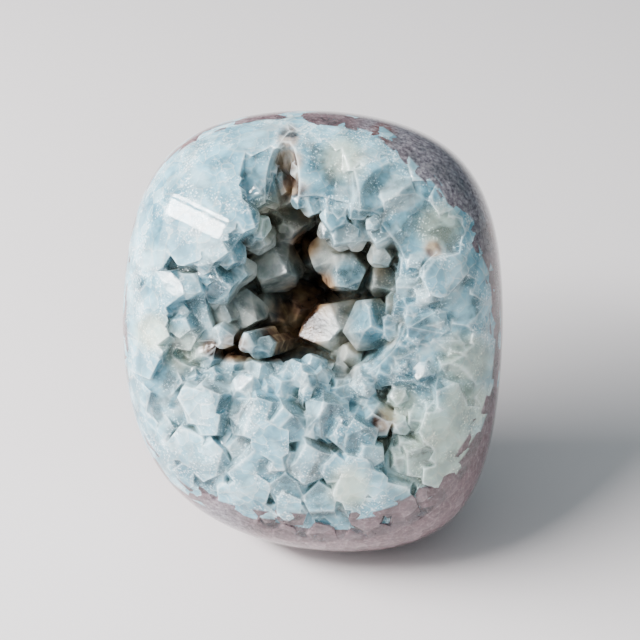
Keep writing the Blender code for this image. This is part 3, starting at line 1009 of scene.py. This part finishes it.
def shelter(points, normals, surface, rng):
    """How closed in each point is: the share of rays out of it that hit the crystals nearby."""
    sky = []
    while len(sky) < SHELTER_RAYS:
        direction = Vector(rng.uniform(-1, 1) for _ in range(3))
        if 0.1 < direction.length < 1:
            sky.append(direction.normalized())
    hit = np.zeros(len(points))
    for number, (point, normal) in enumerate(zip(points, normals)):
        start = Vector(point) + Vector(normal) * SHELTER_START
        blocked = 0
        for direction in sky:
            ray = (Vector(normal) + direction * SHELTER_SPREAD).normalized()
            if surface.ray_cast(start, ray, SHELTER_REACH)[0] is not None:
                blocked += 1
        hit[number] = blocked / SHELTER_RAYS
    return hit


# Stains that the last, iron-rich water left, seen at: across, up, least depth, radius. Each fades
# out between these shares of its radius, and over this depth
PLACE_FADE = (1.3, 0.5)
PLACE_FADE_DEPTH = 1.5
RUST_PLACES = [
    (-1.9, 14.6, 8.5, 2.8),
    (1.5, 7.3, 11.0, 3.0),
    (-1.5, 4.0, 11.0, 5.0),
    (-5.0, -2.0, 8.0, 5.0),
    (-2.5, 2.0, 11.0, 5.5),
    (-1.2, -0.5, 9.5, 3.4),
    (-5.4, 33.0, 0.3, 2.4),
    (-5.3, 29.0, 0.8, 2.8),
    (-4.0, 25.0, 3.0, 3.0),
    (-13.5, -3.5, 2.0, 3.0),
    (-17.5, -3.8, 1.5, 2.0),
    (12.6, -15.4, 2.0, 2.8),
    (20.2, 14.5, 1.5, 2.0),
]
# Edges that bend by more than these, in radians, are crystals' rims and creases
RIM_BEND = 0.45
CREASE_BEND = 0.35
# Beyond these shares a point lies on the polished dome, or close to the bed
ON_DOME = 0.9985
AT_BED = 0.985
# How far the crystals' tones differ, and how much milkier some places are
TONE_SPREAD = 1.3
TONE_SHIFT = -0.15
MILKINESS = 0.25
# The band of massive quartz shows no deeper than this
BAND_THICKNESS = 0.6
FAR_FROM_BAND = -5
# How deep behind the polished dome the beige skin begins and is full, and where there is none
BEIGE_DEPTHS = (3.5, 8.0)
CLEAN_PLACES = [
    (10.4, 1.3, 0, 4.0),
    (6.0, 9.5, 0, 2.8),
    (12.0, -6.2, 0, 4),
    (16.0, 8.5, 0, 4),
    (-1.0, -10.0, 0, 6),
]
# Faces that mirror the window: across, up, depth
GLINTS = [(-23.0, -9.2, 3), (16.1, -8.7, 4), (-4.0, -8.7, 4)]
# Where the quartz has a faint yellow-green tint
LEMON_PLACES = [
    (22.0, -20.0, 0, 9),
    (26.5, -4.5, 0, 5),
    (27.0, -12.0, 0, 5),
    (21.0, 18.5, 0, 4),
    (-27.5, -1.5, 0, 3.5),
    (-8.0, 19.0, 2, 4),
    (7.0, -27.0, 0, 4),
    (-22.0, -4.5, 1, 4),
    (4.0, 29.5, 0, 4),
    (15.5, -13.0, 1, 4),
]
# Where it is the milkiest: across, up, radius
MILKY_PLACES = [
    (-10, -19, 12),
    (-19, -14, 8),
    (-21, 12, 5),
    (-18, 22, 6),
    (10, 20, 7),
    (22, -8, 9),
    (23, 7, 9),
]


def seen_places(points, inward, places):
    """How much each point belongs to places seen on the face, behind their least depth."""
    across, up = seen_from_front(points)
    share = np.zeros(len(points))
    for middle_across, middle_up, depth, radius in places:
        away = np.hypot(across - middle_across, up - middle_up)
        within = smooth_step(away / radius, *PLACE_FADE)
        share = np.maximum(share, within * smooth_step(inward, depth - PLACE_FADE_DEPTH, depth))
    return share


def quartz_crystal():
    """Quartz crystal, glassy and clouded by veils: pale ice blue, brown where rusty water stood."""
    material = bpy.data.materials.new("clouded_quartz_crystal")
    material.use_nodes = True
    tree = material.node_tree
    shader = tree.nodes["Principled BSDF"]
    place = millimetres(tree)
    ground, rim, crease, tone, lemon, coat, rust, closed = (
        node(tree, "ShaderNodeAttribute", out="Fac", attribute_name=name)
        for name in ("ground", "rim", "crease", "crystal", "lemon", "beige", "rust", "shelter")
    )
    quartz, veils, spark = clouded_quartz(tree, place)

    # Each crystal is as clear or as milky as the water it grew in
    milks = [(0.0, "#5690a6"), (0.3, "#80c0d6"), (0.6, "#a6e2f6"), (1.0, "#e0faff")]
    milk = node(tree, "ShaderNodeValToRGB", {0: tone}, stops=milks)
    milk_share = node(tree, "ShaderNodeValToRGB", {0: ground}, stops=[(0.4, 0.6), (0.9, 0.3)])
    # In the vug they have a beige skin, and rust where water stood
    beiges = [(0.35, "#7f7567"), (0.65, "#b9ad9b")]
    skin = node(tree, "ShaderNodeValToRGB", {0: veils}, stops=beiges)
    thinned = node(tree, "ShaderNodeValToRGB", {0: veils}, stops=[(0.35, 1.0), (0.7, 0.6)])
    rusty = node(tree, "ShaderNodeMath", {0: rust, 1: thinned}, operation="MULTIPLY")
    rusts = [(0.38, "#2e1605"), (0.5, "#6e3f0c"), (0.62, "#a87426")]
    iron = node(tree, "ShaderNodeValToRGB", {0: veils}, stops=rusts)
    base = layered(
        tree, quartz, (milk_share, milk), (lemon, 0.45, "#edeabb"), (coat, 0.75, skin), (rusty, iron)
    )
    # Painted shade: darker where the crystals close in, and a grey painted shade in the creases
    shades = [(0.42, "#ffffff"), (0.7, "#b8b5ad"), (1.0, "#857564")]
    shade = node(tree, "ShaderNodeValToRGB", {0: closed}, stops=shades)
    crease_shade = node(tree, "ShaderNodeMath", {0: crease, 1: 0.45}, operation="MULTIPLY")
    for share, colour in ((1.0, shade), (crease_shade, linear("#8c9696"))):
        darkened = {0: share, 6: base, 7: colour}
        base = node(tree, "ShaderNodeMix", darkened, out=2, data_type="RGBA", blend_type="MULTIPLY")
    # Painted highlight along the edges, but not below the skin
    light_rim = node(tree, "ShaderNodeMath", {0: rim, 1: 0.6}, operation="MULTIPLY")
    uncoated = {0: coat, 1: -0.55, 2: light_rim}
    light_rim = node(tree, "ShaderNodeMath", uncoated, operation="MULTIPLY_ADD", use_clamp=True)
    band = in_massive_band(tree, place)
    base = layered(tree, base, (light_rim, "#f4fcfc"), (band, massive_quartz(tree, place)))
    tree.links.new(base, shader.inputs["Base Color"])

    # Ground tops are polished like glass, natural faces are frosted by growth marks
    rough = node(tree, "ShaderNodeValToRGB", {0: ground}, stops=[(0.4, 0.07), (0.9, 0.03)])
    rough = node(tree, "ShaderNodeMath", {0: coat, 1: 0.15, 2: rough}, operation="MULTIPLY_ADD")
    tree.links.new(rough, shader.inputs["Roughness"])
    # Clear where there are few veils, and less so at sparks, stains, edges, ground tops and skin
    clear = node(tree, "ShaderNodeValToRGB", {0: veils}, stops=[(0.38, 0.85), (0.62, 0.45)])
    for share, less in ((spark, 0.4), (rusty, 1.0), (rim, 0.25), (ground, 0.3), (coat, 0.35)):
        clouded = {0: share, 1: -less, 2: clear}
        clear = node(tree, "ShaderNodeMath", clouded, operation="MULTIPLY_ADD", use_clamp=True)
    tree.links.new(clear, shader.inputs["Transmission Weight"])
    shader.inputs["IOR"].default_value = 1.54
    shader.subsurface_method = "BURLEY"
    shader.inputs["Subsurface Weight"].default_value = 0.5
    shader.inputs["Subsurface Radius"].default_value = (1.0, 1.1, 1.15)
    shader.inputs["Subsurface Scale"].default_value = 2.0 * MM

    # Growth marks 1.4 mm apart, which the ground tops have lost
    waves = node(tree, "ShaderNodeTexNoise", {"Vector": place, "Scale": 0.7, "Detail": 3.0})
    height = node(tree, "ShaderNodeMath", {0: spark, 1: 0.5, 2: waves}, operation="MULTIPLY_ADD")
    relief = node(tree, "ShaderNodeValToRGB", {0: ground}, stops=[(0.5, 1.0), (0.95, 0.08)])
    height = node(tree, "ShaderNodeMath", {0: height, 1: relief}, operation="MULTIPLY")
    bump = node(tree, "ShaderNodeBump", {"Height": height, "Strength": 0.25, "Distance": 0.3 * MM})
    tree.links.new(bump, shader.inputs["Normal"])
    return material


# Where the window is mirrored in the polished dome, and how far away it is
WINDOW_MIRRORED_AT = (-21.5, 20.5)
WINDOW_DISTANCE = 620.0


def window_place():
    """The middle of the window that the polished dome mirrors to the eye."""
    eye, _ = sight_line(0, 0)
    mirror = seen_point(*WINDOW_MIRRORED_AT, 0)
    slope = Vector(
        float(stone_measure(mirror + move) - stone_measure(mirror - move))
        for move in (Vector((0.05, 0, 0)), Vector((0, 0.05, 0)), Vector((0, 0, 0.05)))
    )
    return mirror + (mirror - eye).normalized().reflect(slope.normalized()) * WINDOW_DISTANCE


def turned_to_mirror(turn, tip):
    """The turn, changed a little so that one tip face mirrors the window to the eye."""
    eye, _ = sight_line(0, 0)
    wanted = ((eye - tip).normalized() + (window_place() - tip).normalized()).normalized()
    faces = [turn @ tip_face(side) for side in range(6)]
    nearest = max(faces, key=wanted.dot)
    return nearest.rotation_difference(wanted) @ turn


# Where every crystal stands, which way it points, and which of the shapes it has
rng = random.Random(SEED)
shapes = [unit_crystal(rng) for _ in range(SHAPES)]
grown = seen_crystals(rng)
grown += filler_crystals([seen_point(row[0], row[1], 0) for row in CRYSTALS], rng)
grown += liner_crystals([crystal[0] for crystal in grown], rng)
mirrors = [min(grown, key=lambda crystal: (crystal[0] - seen_point(*glint)).length) for glint in GLINTS]
crystals = []
for tip, axis, radius in grown:
    spin = Matrix.Rotation(rng.uniform(0, math.pi / 3), 3, "Z").to_quaternion()
    turn = axis.to_track_quat("Z", "Y") @ spin
    if any(tip is mirror[0] for mirror in mirrors):
        turn = turned_to_mirror(turn, tip)
    crystals.append((tip, turn, radius, rng.randrange(SHAPES)))

seeds = bpy.data.meshes.new("crystal_seeds")
seeds.from_pydata([tuple(crystal[0]) for crystal in crystals], [], [])
store(seeds, "radius", [crystal[2] for crystal in crystals])
seeds.attributes.new("shape", "INT", "POINT").data.foreach_set("value", [c[3] for c in crystals])
turns = seeds.attributes.new("turn", "QUATERNION", "POINT")
turns.data.foreach_set("value", [share for crystal in crystals for share in crystal[1]])

# Grown from those seeds and ground
quartz = quartz_crystal()
tree, sockets = druse_tree(quartz)
druse = add_object("druse_seeds", seeds)
grower = druse.modifiers.new("grow", "NODES")
grower.node_group = tree
bed_radii = BED_RADII - Vector((BED_GAP, BED_GAP, BED_GAP))
formers = {
    "Massive quartz": add_object("massive_quartz", form_mesh("massive_quartz", MASSIVE_CUTS, MASSIVE_SUNK)),
    "Ground form": add_object("ground_form", form_mesh("ground_form", BODY_CUTS)),
    "Bed": add_object("bed", ellipsoid_mesh("bed", BED_MIDDLE, bed_radii, 6)),
}
lobe_meshes = [ellipsoid_mesh("vug_lobe", middle, radii, 3) for middle, radii, _ in VUG_LOBES]
inputs = dict(formers)
inputs["Crystal shapes"] = collection_of("crystal_shape", [shape[0] for shape in shapes])
inputs["Vug lobes"] = collection_of("vug_lobe", lobe_meshes)
inputs["Radius"] = 1.0
for name, value in inputs.items():
    grower[sockets[name]] = value
ground_mesh = finished_mesh(druse)
for former in formers.values():
    bpy.data.objects.remove(former)

bm = bmesh.new()
bm.from_mesh(ground_mesh)
largest_shell(bm)
bmesh.ops.triangulate(bm, faces=bm.faces)
bm.to_mesh(ground_mesh)
bm.free()

# Cut up, with softened corners
triangles = np.zeros(len(ground_mesh.polygons) * 3, np.int32)
ground_mesh.polygons.foreach_get("vertices", triangles)
crisp, triangles = cut_up_fine(corner_array(ground_mesh), triangles.reshape(-1, 3), GRAIN_MM)
sides, bends = side_bends(crisp, triangles)
softened = spread_out(crisp, sides, CORNER_ROUNDS)
at_bed = bed_measure(crisp) > AT_BED
softened[at_bed] = crisp[at_bed]
druse_mesh = bpy.data.meshes.new("crystal_druse")
druse_mesh.from_pydata(softened.tolist(), [], triangles.tolist())

# What the material reads: edges, which carry painted highlights and painted shade, ground tops, and each
# crystal face's own tone
rim, crease = np.zeros(len(crisp)), np.zeros(len(crisp))
rim[sides[bends > RIM_BEND].ravel()] = 1
crease[sides[bends < -CREASE_BEND].ravel()] = 1
on_dome = (stone_measure(crisp) > ON_DOME).astype(float)
owner, facet = owners(crisp, crystals, [shape[1] for shape in shapes])
tones = np.array([[rng.random() for _ in range(12)] for _ in crystals])
tones = (tones + tones[:, :1]) / 2
tone = tones[owner, facet] * TONE_SPREAD + TONE_SHIFT + patches(crisp, MILKY_PLACES) * MILKINESS
store(druse_mesh, "rim", spread_out(rim, sides, 1))
store(druse_mesh, "crease", spread_out(crease, sides, 1))
store(druse_mesh, "ground", spread_out(on_dome, sides, 1))
store(druse_mesh, "crystal", spread_out(np.clip(tone, 0, 1), sides, 1))
# And how closed in each place is, which the material paints as shade, and what lies on it
surface = BVHTree.FromPolygons(softened.tolist(), triangles.tolist())
closed = shelter(softened, point_normals(softened, triangles), surface, random.Random(SEED))
inward = depth_behind_dome(softened)
clean = seen_places(softened, inward, CLEAN_PLACES)
store(druse_mesh, "shelter", spread_out(closed, sides, 2))
store(druse_mesh, "beige", smooth_step(inward, *BEIGE_DEPTHS) * (1 - clean))
store(druse_mesh, "rust", seen_places(softened, inward, RUST_PLACES) * (1 - clean))
store(druse_mesh, "lemon", seen_places(softened, inward, LEMON_PLACES))
store(druse_mesh, "band", np.where(inward < BAND_THICKNESS, band_depth(softened), FAR_FROM_BAND))
store(druse_mesh, "dark_band", patches(softened, DARK_BAND_PLACES))
store(druse_mesh, "rust_band", patches(softened, RUST_BAND_PLACES))

druse_mesh.materials.append(quartz)
druse_mesh.transform(STANCE)
druse_mesh.shade_smooth()
druse_mesh.set_sharp_from_angle(angle=SHARP_ANGLE)
crystal_druse = add_object("crystal_druse", druse_mesh)
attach(crystal_druse, "root")
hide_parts("crystal_crust")


# The table, the window and the camera
# A matt, pale table top of painted board, lit by a window on the left and the room's soft light.
# The camera looks slightly down at the ground face.

FLOOR_SIZE = 3.0
LENS = 101.0
SHIFT = (7 / 640, 9.5 / 640)
# The window's panes, in mm: width and height, how far up, and share of the light
WINDOW_PANES = [((640, 20), 16, 0.2), ((640, 95), -58, 1.0), ((640, 230), -240, 0.2)]
WINDOW_LEAN_DEG = 24.0
WINDOW_WATTS = 15.0
ROOM_LIGHT = 0.64
BRIGHT_SIDE = (-0.35, -0.55, 0.75)

floor_mesh = bpy.data.meshes.new("table_top")
bm = bmesh.new()
bmesh.ops.create_grid(bm, x_segments=1, y_segments=1, size=FLOOR_SIZE / 2)
bm.to_mesh(floor_mesh)
bm.free()
floor = add_object("table_top", floor_mesh)
paint = bpy.data.materials.new("matt_white_paint")
paint.use_nodes = True
paint.node_tree.nodes["Principled BSDF"].inputs["Base Color"].default_value = linear("#ddd6d6")
paint.node_tree.nodes["Principled BSDF"].inputs["Roughness"].default_value = 0.7
floor_mesh.materials.append(paint)

eye, _ = sight_line(0, 0)
camera = bpy.data.objects.new("camera", bpy.data.cameras.new("camera"))
bpy.context.scene.collection.objects.link(camera)
camera.location = STANCE @ eye
camera.rotation_euler = (MIDDLE_FROM_FOOT * MM - camera.location).to_track_quat("-Z", "Y").to_euler()
camera.data.lens = LENS
camera.data.sensor_width = 36.0
camera.data.shift_x = SHIFT[0]
camera.data.shift_y = SHIFT[1]
camera.data.clip_start = 0.01
bpy.context.scene.camera = camera

window = STANCE @ window_place()
lean = Matrix.Rotation(math.radians(WINDOW_LEAN_DEG), 3, "Z").to_quaternion()
facing = (MIDDLE_FROM_FOOT * MM - window).to_track_quat("-Z", "Y") @ lean
for number, ((width, height), drop, share) in enumerate(WINDOW_PANES):
    pane = bpy.data.lights.new(f"window_pane_{number}", "AREA")
    pane.shape = "RECTANGLE"
    pane.size = width * MM
    pane.size_y = height * MM
    pane.energy = WINDOW_WATTS * share
    lamp = bpy.data.objects.new(pane.name, pane)
    bpy.context.scene.collection.objects.link(lamp)
    lamp.rotation_euler = facing.to_euler()
    lamp.location = window + facing @ Vector((0, drop * MM, 0))

world = bpy.data.worlds.new("room")
bpy.context.scene.world = world
world.use_nodes = True
# The room is brighter towards the window's side and the ceiling
sky = world.node_tree
towards = {0: node(sky, "ShaderNodeTexCoord", out="Generated"), 1: BRIGHT_SIDE}
bright = node(sky, "ShaderNodeVectorMath", towards, out="Value", operation="DOT_PRODUCT")
spread = node(sky, "ShaderNodeMapRange", {"Value": bright, "From Min": -0.6, "From Max": 1.0})
walls = [(0.0, "#76868d"), (0.5, "#bed3da"), (1.0, "#f2fbff")]
light = node(sky, "ShaderNodeValToRGB", {0: spread}, stops=walls)
sky.links.new(light, sky.nodes["Background"].inputs["Color"])
sky.nodes["Background"].inputs["Strength"].default_value = ROOM_LIGHT
